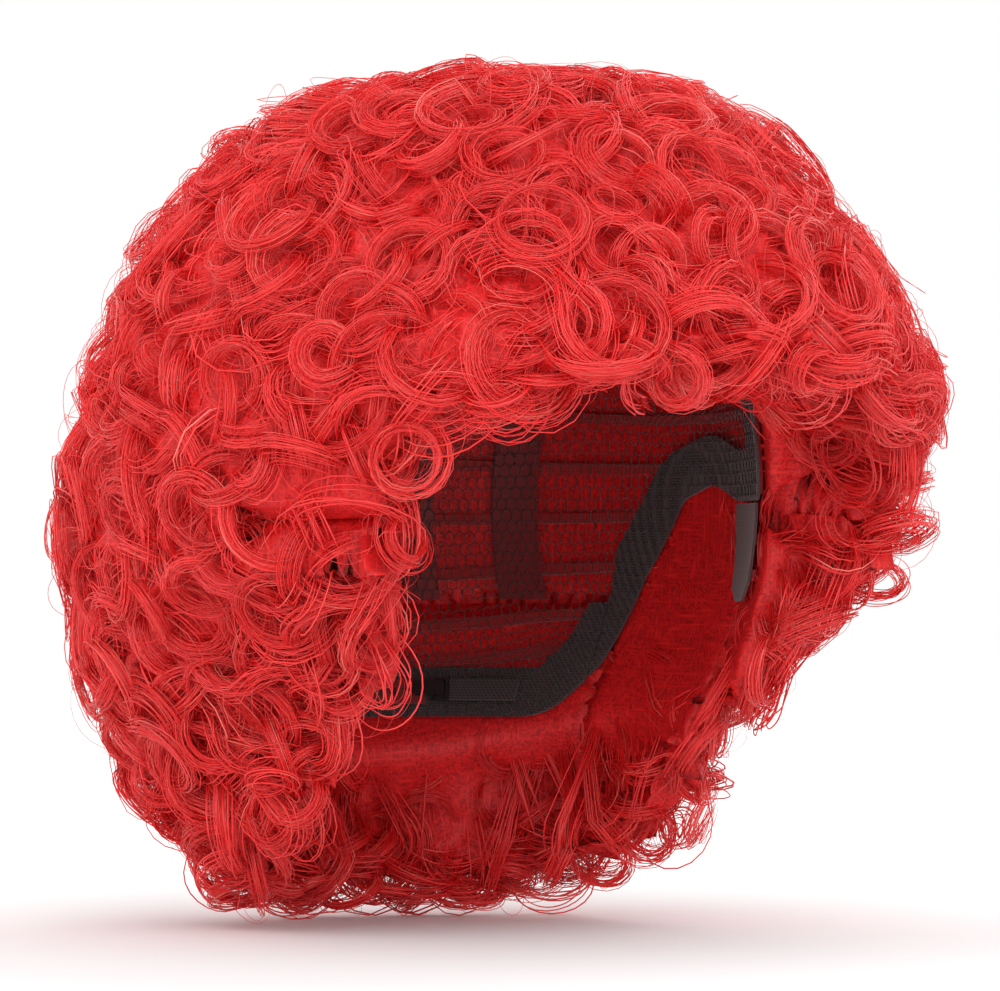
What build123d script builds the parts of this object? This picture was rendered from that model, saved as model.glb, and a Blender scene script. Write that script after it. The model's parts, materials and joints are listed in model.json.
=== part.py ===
from build123d import *
import math
import os

# A curly costume wig in its worn shape: a stretch cap with elastic bands, ear tabs and nape adjusters,
# rows of machine-sewn weft, and the curls that hang from each row.
#
# Frame: millimetres, +Z up. The wearer faces -Y and the wearer's left is +X. The origin is the centre
# of the head opening, at eye level on the head's axis.
#
# The head is an ellipsoid. Every part of the cap is a piece of a thin shell around it, so a part is
# named by two distances from the head and by the zone that it is trimmed to. Zones are side outlines
# in the YZ plane pushed through the whole width, or cones about the head's vertical axis.

# Head and neck that the wig is worn on
HEAD_HALF_WIDTH = 78.0
HEAD_HALF_LENGTH = 97.0
HEAD_HALF_HEIGHT = 108.0
HEAD_CENTRE_Z = 10.0
NECK_SECTIONS = (  # height, half width, half length, centre y
    (HEAD_CENTRE_Z, 74.0, 80.0, 0.0),
    (-60.0, 66.0, 66.0, 5.0),
    (-135.0, 62.0, 62.0, 10.0),
)

# Outer surface of the curls: height, half width, half length, centre y
CURL_SECTIONS = (
    (148.0, 12.0, 14.0, -8.0),
    (143.0, 48.0, 54.0, -8.0),
    (131.0, 78.0, 86.0, -8.0),
    (93.0, 113.0, 124.0, -9.0),
    (50.0, 133.0, 146.0, -10.0),
    (10.0, 135.0, 147.0, 2.0),
    (-30.0, 124.0, 127.0, 26.0),
    (-60.0, 110.0, 98.0, 43.0),
    (-90.0, 92.0, 73.0, 49.0),
    (-112.0, 66.0, 48.0, 53.0),
    (-120.0, 44.0, 32.0, 53.0),
)

# Face opening in the curls: an arch that flares forward. Its sections stand at these y.
FACE_BACK_Y = -50.0
FACE_FRONT_Y = -180.0
FACE_BACK_HALF_WIDTH = 63.0
FACE_FLARE = 0.62
FACE_TOP_Z = 45.0
FACE_ARCH_RISE = 40.0

# Layers of the cap, as distances out from the head
LABEL_LAYER = (-0.5, 0.1)
NET_LAYER = (0.3, 0.9)
BAND_LAYER = (1.0, 2.0)
TAPE_LAYER = (1.0, 1.7)
BARTACK_LAYER = (1.75, 2.05)
PATCH_LAYER = (1.8, 2.6)
TAB_LAYER = (0.3, 1.3)
STAY_LAYER = (1.4, 2.0)
WEFT_LAYER = (2.1, 3.3)
CURL_CLEARANCE = 4.0

# Rim of the cap in side view: forehead, temple, over the ear, and down to the nape
FOREHEAD_Z = 62.0
TAB_ROOT_Z = 10.0
NAPE_RIM_Z = -60.0
TAB_FRONT_Y = -53.0
TAB_BACK_Y = -29.0
RIM = (
    (-84.0, FOREHEAD_Z),
    (-66.0, 52.0),
    (-57.0, 33.0),
    (TAB_FRONT_Y, TAB_ROOT_Z),
    (TAB_BACK_Y, TAB_ROOT_Z),
    (-10.0, 16.0),
    (8.0, 11.0),
    (24.0, -14.0),
    (34.0, -42.0),
    (46.0, NAPE_RIM_Z),
)
RIM_ROUNDING = 12.0
TAB_CORNER_ROUNDING = 4.0
BAND_WIDTH = 16.0
SEAM_GAP = 0.4

# The nape section, which the elastic lets swing out about a line across the back of the head
NAPE_FRONT_Y = 38.0
NAPE_TOP_Z = -22.0
NAPE_SEAM_GAP = 0.6
NAPE_SEAM_DROP = 0.4
NAPE_AXIS = (0.0, 95.0, -19.0)
NAPE_WEDGE_DEG = 10.0
NAPE_CURL_TOP_Z = -24.5

# Ear tabs: bendable tongues in front of the ears
TAB_TIP_Z = -22.0
TAB_ROOT_GAP = 0.8
TAB_WEDGE_DEG = 13.0
TAB_CURL_TOP_Z = 6.0
FIXED_CURL_OVER_TAB_Z = 9.5
TAB_CURL_BACK = 14.0
TAB_CURL_GAP = 1.5
TAB_CURL_REACH = 110.0
TAB_CURL_DEPTH = 95.0
TAB_CURL_DROP = 95.0
TAB_CURL_INSET = 5.0
FIXED_CURL_INSET = 45.0

# Ribbon tapes and wefts
TAPE_WIDTH = 10.0
TAPE_OFFSETS = {"inner": 28.0, "outer": 54.0}
PATCH_RADIUS = 14.0
BARTACK_SPAN = (1.6, 3.3)
BARTACK_WIDTH = 9.0
LABEL_WIDTH = 24.0
LABEL_LEVELS = (-16.0, 14.0)
WEFT_HALF_DEG = 1.1
WEFT_RIM_GAP = 7.0
HAIRLINE_BAND = (2.0, 5.5)
ROW_PITCH_DEG = 11.0
FIRST_ROW_DEG = 16.0
CROWN_ROWS = 9
NAPE_ROW_DEGS = (114.0, 121.5, 129.0)
CURL_PANELS = 4
PANEL_GAP = 0.6
ROW_HALF_GAP_DEG = 0.15
CURL_CROWN_DEG = 2.0
LOWEST_DEG = 178.0
NAPE_ROW_REACH_DEG = 4.0
SMALLEST_CURL_VOLUME = 900.0

# Nape adjusters: an elastic strap whose hook drops into one of the eyelets of a tape
ADJUSTER_AXIS_Y = 28.0
ADJUSTER_RADIUS = 51.4
ADJUSTER_Z = -52.0
ADJUSTER_SLOPE_DEG = 32.2
EYELET_TAPE_LAYER = (-0.6, 0.2)
EYELET_TAPE_HEIGHT = 9.0
EYELET_TAPE_DEGS = (1.5, 24.5)
EYELET_SIZE = (1.9, 3.4)
EYELET_PITCH_DEG = 4.5
EYELETS = 4
STRAP_LAYER = (-2.0, -1.2)
STRAP_HEIGHT = 8.0
STRAP_DEGS = (33.6, 60.0)
STRAP_END_DEG = 30.6
STRAP_END_SIZE = (4.6, 8.4, 1.2)
STRAP_END_SLOT = (2.2, 6.0)
HOOK_BAR_RADIUS = 0.55
HOOK_BAR_CLEARANCE = 0.05
HOOK_EYE_WALL = 0.3
HOOK_WIDTH = 5.0
HOOK_TONGUE = (-0.3, 9.4)
HOOK_RISER_END = 0.9
HOOK_LEVELS = (-1.85, -1.15)
PEG_FROM_BAR = 8.2
PEG_SIZE = (1.1, 2.4)
PEG_TIP = 0.05

FAR = 400.0
SAME_PLACE = 0.01
LEFT, RIGHT = 1, -1
SIDES = {"left": LEFT, "right": RIGHT}


# Shapes that the parts are cut from


def head(distance):
    """The head, grown outwards by a distance. The ball's poles are at the ears, clear of the cap."""
    half = (HEAD_HALF_WIDTH + distance, HEAD_HALF_LENGTH + distance, HEAD_HALF_HEIGHT + distance)
    return Pos(0, 0, HEAD_CENTRE_Z) * scale(Rot(0, 90, 0) * Sphere(1), by=half)


def shell(layer):
    """The thin shell around the head between a layer's two distances."""
    inner, outer = layer
    return head(outer) - head(inner)


def stacked_ellipses(sections):
    """A smooth solid through elliptical sections, each given as height, half width, half length, centre y."""
    return loft([Pos(0, y, z) * Ellipse(half_x, half_y) for z, half_x, half_y, y in sections])


def side_face(points):
    """A closed outline in the YZ plane, given as (y, z) points."""
    return make_face(Polyline(*points, close=True))


def through(face):
    """A side outline pushed through the whole width of the wig."""
    return extrude(Plane.YZ * face, amount=FAR / 2, both=True)


def side_box(low_y, high_y, low_z, high_z):
    """All of the space between two y and two z."""
    centre = Pos(0, (low_y + high_y) / 2, (low_z + high_z) / 2)
    return centre * Box(FAR, high_y - low_y, high_z - low_z)


def spanning_box(x_span, width, z_span):
    """A box between two x and two z, centred on y = 0."""
    centre = Pos(sum(x_span) / 2, 0, sum(z_span) / 2)
    return centre * Box(x_span[1] - x_span[0], width, z_span[1] - z_span[0])


def cone_zone(low_deg, high_deg):
    """The space between two cones that open from the head's centre, by their angles from straight up."""
    low, high = math.radians(low_deg), math.radians(high_deg)
    near, far = 20.0, FAR
    corners = [
        (near * math.sin(low), near * math.cos(low)),
        (far * math.sin(low), far * math.cos(low)),
        (far * math.sin(high), far * math.cos(high)),
        (near * math.sin(high), near * math.cos(high)),
    ]
    profile = make_face(Polyline(*corners, close=True))
    return Pos(0, 0, HEAD_CENTRE_Z) * revolve(Plane.XZ * profile, Axis.Z)


def rim_face():
    """Everything below the cap's rim, in side view."""
    points = [(-FAR / 2, FOREHEAD_Z), *RIM, (FAR / 2, NAPE_RIM_Z), (FAR / 2, -FAR / 2), (-FAR / 2, -FAR / 2)]
    face = side_face(points)
    ends = FAR / 2 - 1
    open_corners = [v for v in face.vertices() if abs(v.X) < ends and abs(v.Y - TAB_ROOT_Z) > SAME_PLACE]
    face = fillet(open_corners, RIM_ROUNDING)
    tab_corners = [v for v in face.vertices() if abs(v.Y - TAB_ROOT_Z) < SAME_PLACE and v.X < 0]
    return fillet(tab_corners, TAB_CORNER_ROUNDING)


def grown(face, distance):
    """A side outline grown by a distance."""
    return offset(face, amount=distance, kind=Kind.ARC)


def on_side(shape, side):
    """The solids of a shape that lie on one side of the wig."""
    return Compound([s for s in shape.solids() if s.center().X * side > 0])


def large_solids(shape):
    """A shape without the slivers that trimming leaves."""
    return Compound([s for s in shape.solids() if s.volume > SMALLEST_CURL_VOLUME])


def mirrored(shape):
    """The same shape on the other side of the wig."""
    return mirror(shape, about=Plane.YZ)


def save(name, shape):
    export_step(Compound(shape.solids()), f"parts/{name}.step")


# Zones that several parts share

BELOW_RIM = rim_face()
below_rim = through(BELOW_RIM)
band_edge = through(grown(BELOW_RIM, BAND_WIDTH))
nape_zone = side_box(NAPE_FRONT_Y - NAPE_SEAM_GAP, FAR / 2, -FAR / 2, NAPE_TOP_Z + NAPE_SEAM_GAP)
nape_space = side_box(NAPE_FRONT_Y, FAR / 2, -FAR / 2, NAPE_TOP_Z - NAPE_SEAM_DROP)


# The cap


def crown_net():
    return shell(NET_LAYER) - below_rim - nape_zone


def nape_panel():
    return (shell(NET_LAYER) - below_rim) & nape_space


def rim_bands():
    """The elastic along the rim, split into the front, the two sides and the nape."""
    band = (shell(BAND_LAYER) - below_rim) & band_edge
    front = band & side_box(-FAR / 2, TAB_BACK_Y, TAB_ROOT_Z, FAR / 2)
    sides = band & side_box(TAB_BACK_Y + SEAM_GAP, NAPE_FRONT_Y - 1.0, -FAR / 2, FAR / 2)
    nape = band & nape_space
    return front, sides, nape


def ribbon_tape(centre_x):
    """One front-to-back tape on the crown, between the front band and the nape section."""
    slab = Pos(centre_x, 0, 0) * Box(TAPE_WIDTH, FAR, FAR)
    free = through(grown(BELOW_RIM, BAND_WIDTH + SEAM_GAP))
    return (shell(TAPE_LAYER) & slab) - free - nape_zone


def tape_bartacks():
    """The dense stitches that hold each tape's ends, as a short bar across the tape."""
    near, far = BARTACK_SPAN
    inner = through(grown(BELOW_RIM, BAND_WIDTH + near))
    outer = through(grown(BELOW_RIM, BAND_WIDTH + far))
    by_nape = side_box(NAPE_FRONT_Y, FAR / 2, NAPE_TOP_Z + near, NAPE_TOP_Z + far)
    edge = (outer - inner) + by_nape - nape_zone
    bars = []
    for centre_x in (0, *(s * x for s in SIDES.values() for x in TAPE_OFFSETS.values())):
        slab = Pos(centre_x, 0, 0) * Box(BARTACK_WIDTH, FAR, FAR)
        bars += ((shell(BARTACK_LAYER) & slab & edge) - inner).solids()
    return Compound(bars)


def crown_patch():
    return shell(PATCH_LAYER) & Pos(0, 0, HEAD_CENTRE_Z + HEAD_HALF_HEIGHT) * Cylinder(PATCH_RADIUS, 60)


def care_label():
    """A blank label inside the back of the cap."""
    low_z, high_z = LABEL_LEVELS
    window = Box(LABEL_WIDTH, HEAD_HALF_LENGTH, high_z - low_z)
    window = Pos(0, HEAD_HALF_LENGTH, (low_z + high_z) / 2) * window
    return shell(LABEL_LAYER) & window


def ear_tabs():
    """Each ear tab's fabric, the bendable stay sewn on it, and its short wefts, both sides together."""
    root = TAB_ROOT_Z - TAB_ROOT_GAP
    outline = side_face(
        [
            (TAB_FRONT_Y, root),
            (TAB_BACK_Y, root),
            (TAB_BACK_Y - 2.5, TAB_TIP_Z + 4),
            (TAB_BACK_Y - 8, TAB_TIP_Z),
            (TAB_FRONT_Y + 8, TAB_TIP_Z),
            (TAB_FRONT_Y + 3, TAB_TIP_Z + 6),
        ]
    )
    fabric = shell(TAB_LAYER) & through(outline)
    middle = (TAB_FRONT_Y + TAB_BACK_Y) / 2
    stay = shell(STAY_LAYER) & side_box(middle - 2.5, middle + 2.5, TAB_TIP_Z + 3, root - 1.5)
    strips = side_box(-FAR / 2, FAR / 2, -4, -0.5) + side_box(-FAR / 2, FAR / 2, -15.5, -12)
    wefts = shell(WEFT_LAYER) & through(offset(outline, amount=-2)) & strips
    return fabric, stay, wefts


# The wefts


def hairline_wefts():
    """The weft that follows the whole rim, split at the nape section."""
    near, far = HAIRLINE_BAND
    edge = through(grown(BELOW_RIM, far)) - through(grown(BELOW_RIM, near))
    track = shell(WEFT_LAYER) & edge
    return track - nape_zone, track & nape_space


def weft_row(angle, zone):
    """The sewn track of one row, at an angle from straight up, kept inside a zone and off the rim."""
    track = shell(WEFT_LAYER) & cone_zone(angle - WEFT_HALF_DEG, angle + WEFT_HALF_DEG)
    return (track & zone) - through(grown(BELOW_RIM, WEFT_RIM_GAP))


# The curls: soft volumes around the cap, one per weft row


def face_opening():
    """The arch-shaped space in front of the face, which widens towards the front."""
    arches = []
    for y in (FACE_BACK_Y, FACE_FRONT_Y):
        half = FACE_BACK_HALF_WIDTH + FACE_FLARE * (FACE_BACK_Y - y)
        spring = FACE_TOP_Z - FACE_ARCH_RISE
        arch = Pos(0, spring) * Ellipse(half, FACE_ARCH_RISE)
        legs = Pos(0, spring - FAR / 4) * Rectangle(2 * half, FAR / 2)
        plane = Plane(origin=(0, y, 0), x_dir=(1, 0, 0), z_dir=(0, -1, 0))
        arches.append(plane * (arch + legs))
    return loft(arches)


def curl_block():
    """All of the hair as one volume, with room for the head, the neck and the face."""
    solid = stacked_ellipses(CURL_SECTIONS)
    solid -= head(CURL_CLEARANCE)
    solid -= stacked_ellipses(NECK_SECTIONS)
    return solid - face_opening()


def panel_gaps():
    """Thin slots on planes through the head's axis, which part each row into panels."""
    slots = [Rot(0, 0, (k + 0.5) * 180 / CURL_PANELS) * Box(PANEL_GAP, FAR, FAR) for k in range(CURL_PANELS)]
    return Compound([s.solid() for s in slots])


def tab_frame():
    """The frame of the left ear tab's hinge: x along the hinge to the back, z outwards."""

    def root_point(y):
        return HEAD_HALF_WIDTH * math.sqrt(1 - (y / HEAD_HALF_LENGTH) ** 2), y

    front, back = root_point(TAB_FRONT_Y), root_point(TAB_BACK_Y)
    along = Vector(back[0] - front[0], back[1] - front[1], 0).normalized()
    out = Vector(along.Y, -along.X, 0)
    origin = ((front[0] + back[0]) / 2, (front[1] + back[1]) / 2, TAB_ROOT_Z - TAB_ROOT_GAP / 2)
    return Plane(origin=origin, x_dir=along, z_dir=out)


def tab_curl_zone(side, own):
    """The space of an ear tab's curls. With own False, the space that the fixed curls leave for them."""
    if own:
        back, top, slope_deg, start = TAB_CURL_BACK, TAB_CURL_TOP_Z, TAB_WEDGE_DEG, -TAB_CURL_INSET
    else:
        back, top = TAB_CURL_BACK + TAB_CURL_GAP, FIXED_CURL_OVER_TAB_Z
        slope_deg, start = 0.0, -FIXED_CURL_INSET
    frame = tab_frame()
    level = top - TAB_ROOT_Z
    fall = TAB_CURL_DEPTH * math.tan(math.radians(slope_deg))
    outline = [
        (start, level),
        (TAB_CURL_DEPTH, level - fall),
        (TAB_CURL_DEPTH, -TAB_CURL_DROP),
        (start, -TAB_CURL_DROP),
    ]
    plane = Plane(origin=frame.origin + frame.x_dir * back, x_dir=frame.z_dir, z_dir=-frame.x_dir)
    zone = extrude(plane * make_face(Polyline(*outline, close=True)), amount=TAB_CURL_REACH)
    return zone if side == LEFT else mirrored(zone)


def nape_curl_zone():
    """The space of the nape curls: below a slope that lets the nape section swing out."""
    axis_y = NAPE_AXIS[1]
    far_y = FAR / 2
    drop = (far_y - axis_y) * math.tan(math.radians(NAPE_WEDGE_DEG))
    front = NAPE_FRONT_Y + 0.8
    top = NAPE_CURL_TOP_Z
    outline = [(front, top), (axis_y, top), (far_y, top - drop), (far_y, -FAR / 2), (front, -FAR / 2)]
    return through(side_face(outline))


# The nape adjusters


def adjuster_plane(angle, distance):
    """A plane on the nape band's sloping inside: x towards the centre back, z outwards. For the left side."""
    turn, slope = math.radians(angle), math.radians(ADJUSTER_SLOPE_DEG)
    outward = Vector(math.sin(turn), math.cos(turn), 0)
    towards_centre = Vector(-math.cos(turn), math.sin(turn), 0)
    normal = outward * math.cos(slope) - Vector(0, 0, math.sin(slope))
    middle = Vector(0, ADJUSTER_AXIS_Y, ADJUSTER_Z) + outward * ADJUSTER_RADIUS
    return Plane(origin=middle + normal * distance, x_dir=towards_centre, z_dir=normal)


def sloping_strip(layer, height, degs):
    """A strip that lies on the nape band's inside, swept about the band's vertical axis."""
    slope = math.radians(ADJUSTER_SLOPE_DEG)
    plane = Plane(
        origin=(0, ADJUSTER_AXIS_Y + ADJUSTER_RADIUS, ADJUSTER_Z),
        x_dir=(0, math.cos(slope), -math.sin(slope)),
        z_dir=(1, 0, 0),
    )
    inner, outer = layer
    profile = plane * Pos((inner + outer) / 2, 0) * Rectangle(outer - inner, height)
    axis = Axis((0, ADJUSTER_AXIS_Y, 0), (0, 0, 1))
    first, last = degs
    return revolve(profile, axis, revolution_arc=last - first).rotate(axis, -last)


def peg_angle():
    """The angle of the hook's peg from the centre back, at rest."""
    return STRAP_END_DEG - math.degrees(math.atan(PEG_FROM_BAR / ADJUSTER_RADIUS))


def eyelet_tape():
    tape = sloping_strip(EYELET_TAPE_LAYER, EYELET_TAPE_HEIGHT, EYELET_TAPE_DEGS)
    for k in range(EYELETS):
        plane = adjuster_plane(peg_angle() - k * EYELET_PITCH_DEG, 0)
        tape -= plane * Box(*EYELET_SIZE, 6)
    return tape


def strap_end():
    """The moulded end of the strap: a frame with the bar that the hook swings on."""
    plane = adjuster_plane(STRAP_END_DEG, sum(STRAP_LAYER) / 2)
    block = Box(*STRAP_END_SIZE) - Box(*STRAP_END_SLOT, 4)
    bar = Rot(90, 0, 0) * Cylinder(HOOK_BAR_RADIUS, STRAP_END_SLOT[1] + 1)
    return plane * (block + bar)


def hook():
    """The hook: an eye that wraps the strap end's bar, a tongue, and a peg that drops into an eyelet."""
    bore_radius = HOOK_BAR_RADIUS + HOOK_BAR_CLEARANCE
    bore = Rot(90, 0, 0) * Cylinder(bore_radius, 2 * HOOK_WIDTH)
    eye = Rot(90, 0, 0) * Cylinder(bore_radius + HOOK_EYE_WALL, HOOK_WIDTH)
    low, high = HOOK_LEVELS
    start, end = HOOK_TONGUE
    tongue = spanning_box((start, end), HOOK_WIDTH, (low, high))
    riser = spanning_box((start, HOOK_RISER_END), HOOK_WIDTH, (low, -bore_radius))
    peg_length, peg_width = PEG_SIZE
    peg_span = (PEG_FROM_BAR - peg_length / 2, PEG_FROM_BAR + peg_length / 2)
    peg = spanning_box(peg_span, peg_width, (high, PEG_TIP))
    plane = adjuster_plane(STRAP_END_DEG, sum(STRAP_LAYER) / 2)
    return plane * ((eye + riser + tongue - bore) + peg)


def main():
    os.makedirs("parts", exist_ok=True)
    build_cap()
    build_wefts()
    build_curls()
    build_adjusters()


def build_cap():
    save("crown_net", crown_net())
    save("nape_panel", nape_panel())
    front, sides, nape = rim_bands()
    save("front_band", front)
    save("nape_band", nape)
    save("centre_tape", ribbon_tape(0))
    for name, side in SIDES.items():
        save(f"{name}_side_band", on_side(sides, side))
        for place, centre_x in TAPE_OFFSETS.items():
            save(f"{name}_{place}_tape", ribbon_tape(side * centre_x))
    save("tape_bartacks", tape_bartacks())
    save("crown_patch", crown_patch())
    save("care_label", care_label())
    for piece, shape in zip(("ear_tab", "ear_stay", "tab_weft"), ear_tabs(), strict=True):
        for name, side in SIDES.items():
            save(f"{name}_{piece}", on_side(shape, side))


def build_wefts():
    hairline, nape_hairline = hairline_wefts()
    save("hairline_weft", hairline)
    save("nape_hairline_weft", nape_hairline)
    fixed = Box(FAR, FAR, FAR) - nape_zone
    for row in range(CROWN_ROWS):
        save(f"weft_row_{row + 1}", weft_row(FIRST_ROW_DEG + row * ROW_PITCH_DEG, fixed))
    for row, angle in enumerate(NAPE_ROW_DEGS, 1):
        save(f"nape_weft_row_{row}", weft_row(angle, nape_space))


def build_curls():
    block = curl_block() - panel_gaps()
    fixed = block - nape_zone
    for name, side in SIDES.items():
        save(f"{name}_tab_curls", large_solids(block & tab_curl_zone(side, own=True)))
        fixed -= tab_curl_zone(side, own=False)
    top = CURL_CROWN_DEG
    for row in range(CROWN_ROWS):
        bottom = FIRST_ROW_DEG + (row + 0.5) * ROW_PITCH_DEG
        zone = cone_zone(top + ROW_HALF_GAP_DEG, bottom - ROW_HALF_GAP_DEG)
        save(f"curls_row_{row + 1}", large_solids(fixed & zone))
        top = bottom
    below = large_solids(fixed & cone_zone(top + ROW_HALF_GAP_DEG, LOWEST_DEG))
    for name, side in SIDES.items():
        save(f"{name}_ear_curls", on_side(below, side))
    nape = block & nape_curl_zone()
    edges = (90.0, *(angle + NAPE_ROW_REACH_DEG for angle in NAPE_ROW_DEGS[:-1]), LOWEST_DEG)
    for row in range(len(NAPE_ROW_DEGS)):
        zone = cone_zone(edges[row] + ROW_HALF_GAP_DEG, edges[row + 1] - ROW_HALF_GAP_DEG)
        save(f"nape_curls_row_{row + 1}", large_solids(nape & zone))


def build_adjusters():
    shapes = {
        "eyelet_tape": eyelet_tape(),
        "adjuster_strap": sloping_strip(STRAP_LAYER, STRAP_HEIGHT, STRAP_DEGS),
        "strap_end": strap_end(),
        "hook": hook(),
    }
    for piece, shape in shapes.items():
        save(f"left_{piece}", shape)
        save(f"right_{piece}", mirrored(shape))


main()
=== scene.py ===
import json
import math

import bmesh
import bpy
import numpy as np
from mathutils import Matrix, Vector, noise
from mathutils.bvhtree import BVHTree

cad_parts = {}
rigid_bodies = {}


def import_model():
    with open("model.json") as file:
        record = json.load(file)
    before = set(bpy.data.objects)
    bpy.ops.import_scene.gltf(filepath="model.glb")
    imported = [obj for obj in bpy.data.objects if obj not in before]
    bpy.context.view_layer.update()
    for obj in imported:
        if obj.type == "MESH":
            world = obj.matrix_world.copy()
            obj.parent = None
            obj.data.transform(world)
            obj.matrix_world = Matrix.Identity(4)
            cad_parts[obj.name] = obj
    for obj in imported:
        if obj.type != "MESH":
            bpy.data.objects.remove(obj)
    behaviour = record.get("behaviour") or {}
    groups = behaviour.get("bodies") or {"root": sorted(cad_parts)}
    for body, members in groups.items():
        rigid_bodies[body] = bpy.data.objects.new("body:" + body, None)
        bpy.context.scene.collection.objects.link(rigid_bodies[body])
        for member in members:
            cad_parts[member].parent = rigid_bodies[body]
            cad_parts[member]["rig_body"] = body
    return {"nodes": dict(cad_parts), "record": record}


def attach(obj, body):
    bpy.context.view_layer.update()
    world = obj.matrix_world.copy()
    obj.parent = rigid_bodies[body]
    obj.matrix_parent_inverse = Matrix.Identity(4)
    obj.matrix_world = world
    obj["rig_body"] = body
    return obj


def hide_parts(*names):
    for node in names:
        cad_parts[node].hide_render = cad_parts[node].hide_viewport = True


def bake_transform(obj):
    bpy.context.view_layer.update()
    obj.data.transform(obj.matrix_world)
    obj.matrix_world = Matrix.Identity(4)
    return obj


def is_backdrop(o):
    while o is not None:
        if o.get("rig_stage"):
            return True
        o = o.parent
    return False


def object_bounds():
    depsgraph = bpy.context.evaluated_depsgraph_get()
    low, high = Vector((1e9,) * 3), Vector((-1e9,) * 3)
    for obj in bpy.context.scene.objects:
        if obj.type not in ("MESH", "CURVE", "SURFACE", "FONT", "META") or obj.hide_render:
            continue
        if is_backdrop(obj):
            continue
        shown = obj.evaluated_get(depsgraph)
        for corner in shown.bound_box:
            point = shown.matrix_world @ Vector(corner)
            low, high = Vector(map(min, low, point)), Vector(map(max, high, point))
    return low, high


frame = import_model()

# The looks of the curly costume wig: real fibre locks in place of the CAD's soft curl volumes, a knotted
# net in place of its net shells, and cloth, ribbon, elastic and plastic finishes on the rest of the cap.
# Lengths are in millimetres until a mesh is made, which is in metres.

MM = 0.001
SEED = 20

# The head that the cap fits: half sizes and the height of its centre
HEAD_HALF = np.array((78.0, 97.0, 108.0))
HEAD_CENTRE = np.array((0.0, 0.0, 10.0))

# Fibres: points along the stem from the weft, points along the curl, and the sides of the thin tube, which
# one triangle closes at each end
STEM_POINTS = 3
CURL_POINTS = 20
FIBRE_SIDES = 3
# How much thinner a hair gets towards its tip, and how late that happens
HAIR_TAPER = 0.85
TAPER_POWER = 4
# A direction that a tube's first cross-section is built from, which no fibre is likely to follow
ANY_DIRECTION = np.array((0.31, 0.52, 0.79))
# The bake map of the fibres has this many columns, and each column is one tint
UV_COLUMNS = 96
MOST_TRIANGLES_PER_PIECE = 190_000

# The three kinds of lock. spacing: distance between neighbours. sink: how far the curl's outermost point
# lies under the hair's outer surface. spread: how far fibres stray across the lock.
CURL_LAYERS = {
    "outer": {"spacing": 12.2, "fibres": 28, "thickness": 0.175, "spread": 2.0, "sink": 2.5},
    "bed": {"spacing": 13.5, "fibres": 9, "thickness": 0.30, "spread": 3.2, "sink": 8.0},
    "frizz": {"spacing": 7.5, "fibres": 1, "thickness": 0.10, "spread": 3.0, "sink": 0.5},
}
# The shapes of curl, with lowest and highest values. facing: how much the curl's axis leans to the way out,
# which for a ring is picked from three. A random number from 0 to 1 gives a ring under the first limit, a
# ringlet under the second, and else a sweep.
RING = {"radius": (10.0, 16.0), "turns": (1.1, 1.6), "facing": (0.3, 2.2, 3.0)}
RINGLET = {"radius": (6.5, 9.5), "turns": (1.2, 1.7), "facing": 0.8}
SWEEP = {"radius": (15.0, 20.0), "turns": (0.5, 0.8), "facing": 1.8}
STRAY = {"radius": (6, 15), "turns": (0.5, 1.2), "facing": 0.3}
RING_LIMIT, RINGLET_LIMIT = 0.72, 0.87

# Where a curl's centre goes: the part of its spread that adds to its depth, unevenness in depth, extra depth
# on the walls of the face opening and the neck, and how much the way in follows the head's centre, except on
# surfaces that face inwards
SPREAD_DEPTH = 0.6
DEPTH_JITTER = 1.4
WALL_SINK = 1.5
RADIAL_LEAN = 0.7
FACES_INWARD = -0.3
# Roots are looked for this far above a curl, with this much chance, on faces that look this much outwards
ROOT_ABOVE = 12.0
ROOT_CHANCE = 6
ROOTS_PER_SQUARE_MM = 0.12
FACES_OUTWARD = 0.7
# How the fibres of a lock differ from each other: they lie in clumps, and wander as shares of the spread
CLUMPS = 6
CLUMP_SHARE = 0.75
FIBRE_SHARE = 0.45
WANDER = 0.14
TURN_SPREAD = (0.66, 1.12)
ANGLE_SPREAD = 0.14
THICKNESS_SPREAD = (0.8, 1.15)
# Along the curl: how much fibres draw together, its size at the start and how much of that it loses, the
# slow waves across and along its axis with how many there are, and its rise per turn
GATHER = (0.45, 0.9)
START_SIZE = 1.06
SIZE_LOSS = (0.05, 0.45)
SMALLEST_CURL = 2.0
WAVE_ACROSS, WAVE_ALONG = 0.2, 0.25
WAVES = (0.6, 2.2)
PITCH = (1.0, 6.0)
# At the weft: how wide a lock stands, how uneven it is, and how straight it runs into its curl
FOOT_HALF_WIDTH = 2.5
FOOT_JITTER = 0.25
RISE_JITTER = 0.25
ARRIVAL = 0.8
# A root inside its curl's circle counts as this far outside it
ROOT_OUTSIDE = 0.1

# How far a fibre may stand out from the CAD's box, and how far a lock may stand out from its curl volumes
STANDS_PROUD = 6.0
LOCK_STANDS_PROUD = 8.0
# A lock that stands out too far is made this much smaller, at most so many times. Only every so many fibres
# and points of it are looked at.
SHRINK = 0.75
SHRINKS = 2
FIBRE_STEP, POINT_STEP = 7, 3
# Curls grow under surfaces with nothing else of the hair in front of them within this distance. Looking
# starts a little off the surface.
EXPOSED_REACH = 14.0
EXPOSED_START = 0.3
SAMPLES_PER_SQUARE_MM = 0.05
# Spots this close to the cap's net and bands grow no curl, and fibres this close to the head are dropped
CAP_CLEARANCE = 9.0
HEAD_CLEARANCE = 2.0
# A lock above a slit wider than this gets a second one that hangs over the slit's mouth. The slit is looked
# for this far down, from this far under the surface.
WIDE_SLIT = 5.0
SLIT_REACH = 27.0
SLIT_INSET = 12.0

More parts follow.
